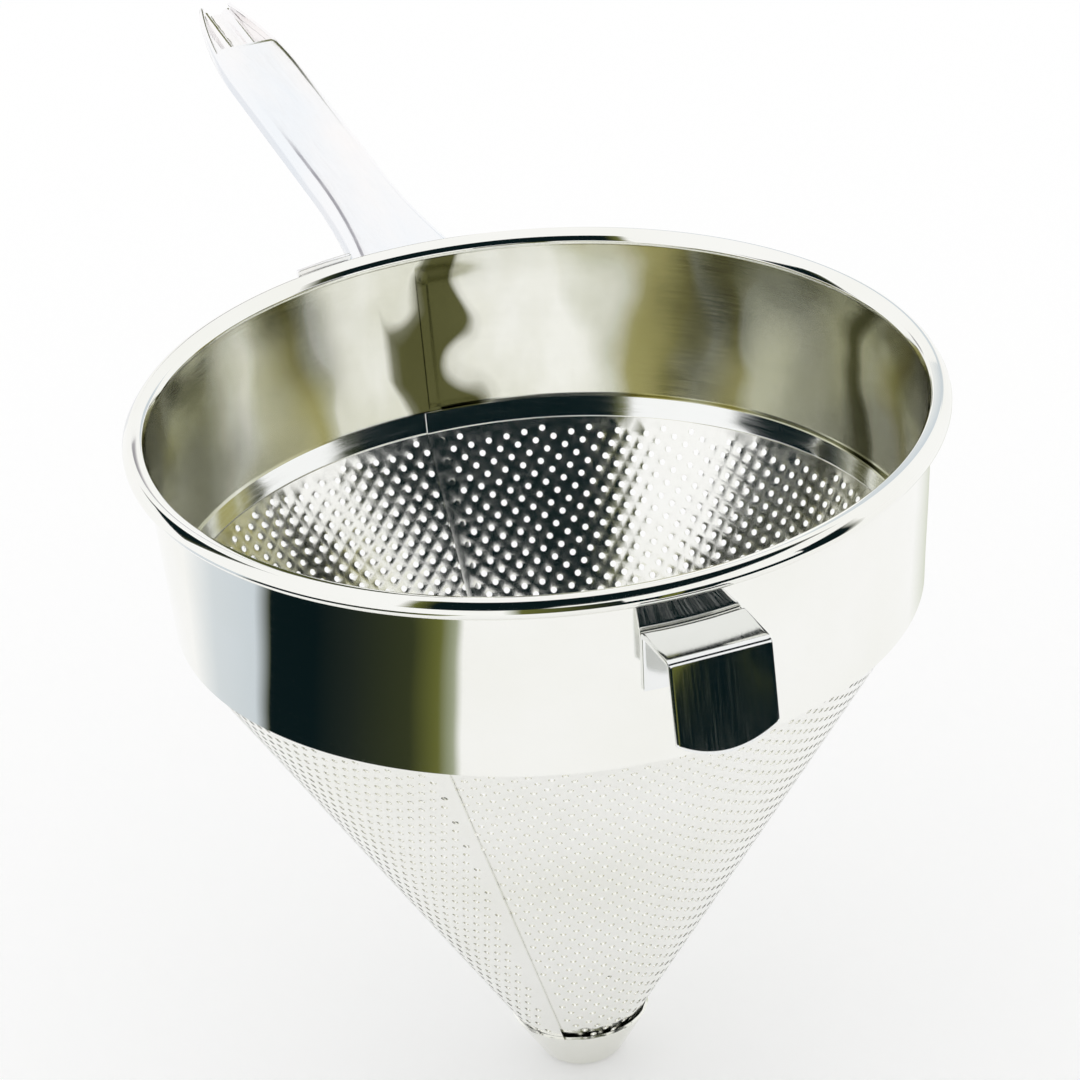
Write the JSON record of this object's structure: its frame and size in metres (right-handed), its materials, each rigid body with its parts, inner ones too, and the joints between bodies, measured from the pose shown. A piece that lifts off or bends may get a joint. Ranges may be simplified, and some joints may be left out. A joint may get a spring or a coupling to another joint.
{
  "type": "chinois strainer",
  "caption": "Conical sheet-metal strainer with a perforated cone, an upright collar with a rolled rim, a channel handle and a hook that rests on a pot.",
  "frame": {"origin": "centre of the flat outer face of the tip cap, on the cone's axis", "axes": "+Z along the cone's axis towards the open rim, +Y along the handle, -Y towards the pot hook"},
  "size_m": [0.254, 0.4748, 0.2398],
  "materials": {
    "polished_sheet": "bright polished tinned sheet, slightly wavy",
    "perforated_sheet": "bright perforated sheet",
    "strap_steel": "bright plated strap",
    "handle_sheet": "bright pressed sheet, softly worn",
    "wire": "drawn wire"
  },
  "bodies": {
    "root": {"collar_band": "polished_sheet", "rim_wire": "wire", "cone_panel_wide": "perforated_sheet", "cone_panel_narrow": "perforated_sheet", "tip_cap": "polished_sheet", "pot_hook": "strap_steel", "handle_saddle": "strap_steel", "handle_shell": "handle_sheet", "handle_underplate": "handle_sheet"}
  },
  "joints": []
}
